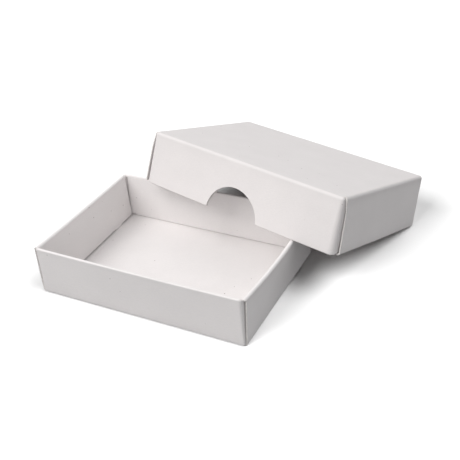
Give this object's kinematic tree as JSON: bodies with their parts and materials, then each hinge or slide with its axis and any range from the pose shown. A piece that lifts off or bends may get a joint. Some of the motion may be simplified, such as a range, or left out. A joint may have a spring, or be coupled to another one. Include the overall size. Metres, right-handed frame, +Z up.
{
  "type": "jewelry gift box",
  "caption": "Shallow rectangular folded paperboard gift box: an open tray, with its thumb-notched lid leaning on the corner of the tray.",
  "frame": {"origin": "centre of the tray's underside, on the surface that the box stands on", "axes": "+Z up, +X along the tray's length to the right, +Y along its width to the rear"},
  "size_m": [0.118, 0.1208, 0.0424],
  "materials": {
    "tray_board": "matte",
    "lid_board": "matte"
  },
  "bodies": {
    "tray": {"tray_base_panel": "tray_board", "tray_front_outer_wall": "tray_board", "tray_rear_outer_wall": "tray_board", "tray_left_outer_wall": "tray_board", "tray_right_outer_wall": "tray_board", "tray_front_inner_wall": "tray_board", "tray_rear_inner_wall": "tray_board", "tray_left_inner_wall": "tray_board", "tray_right_inner_wall": "tray_board", "tray_front_left_flap": "tray_board", "tray_front_right_flap": "tray_board", "tray_rear_left_flap": "tray_board", "tray_rear_right_flap": "tray_board"},
    "lid": {"lid_top_panel": "lid_board", "lid_front_outer_wall": "lid_board", "lid_rear_outer_wall": "lid_board", "lid_left_outer_wall": "lid_board", "lid_right_outer_wall": "lid_board", "lid_front_inner_wall": "lid_board", "lid_rear_inner_wall": "lid_board", "lid_left_inner_wall": "lid_board", "lid_right_inner_wall": "lid_board", "lid_front_left_flap": "lid_board", "lid_front_right_flap": "lid_board", "lid_rear_left_flap": "lid_board", "lid_rear_right_flap": "lid_board"}
  },
  "joints": [
    {"name": "lid_lift", "type": "slide", "parent": "tray", "child": "lid", "axis": [0, 0, 1], "range_m": [0, 0.1]}
  ]
}
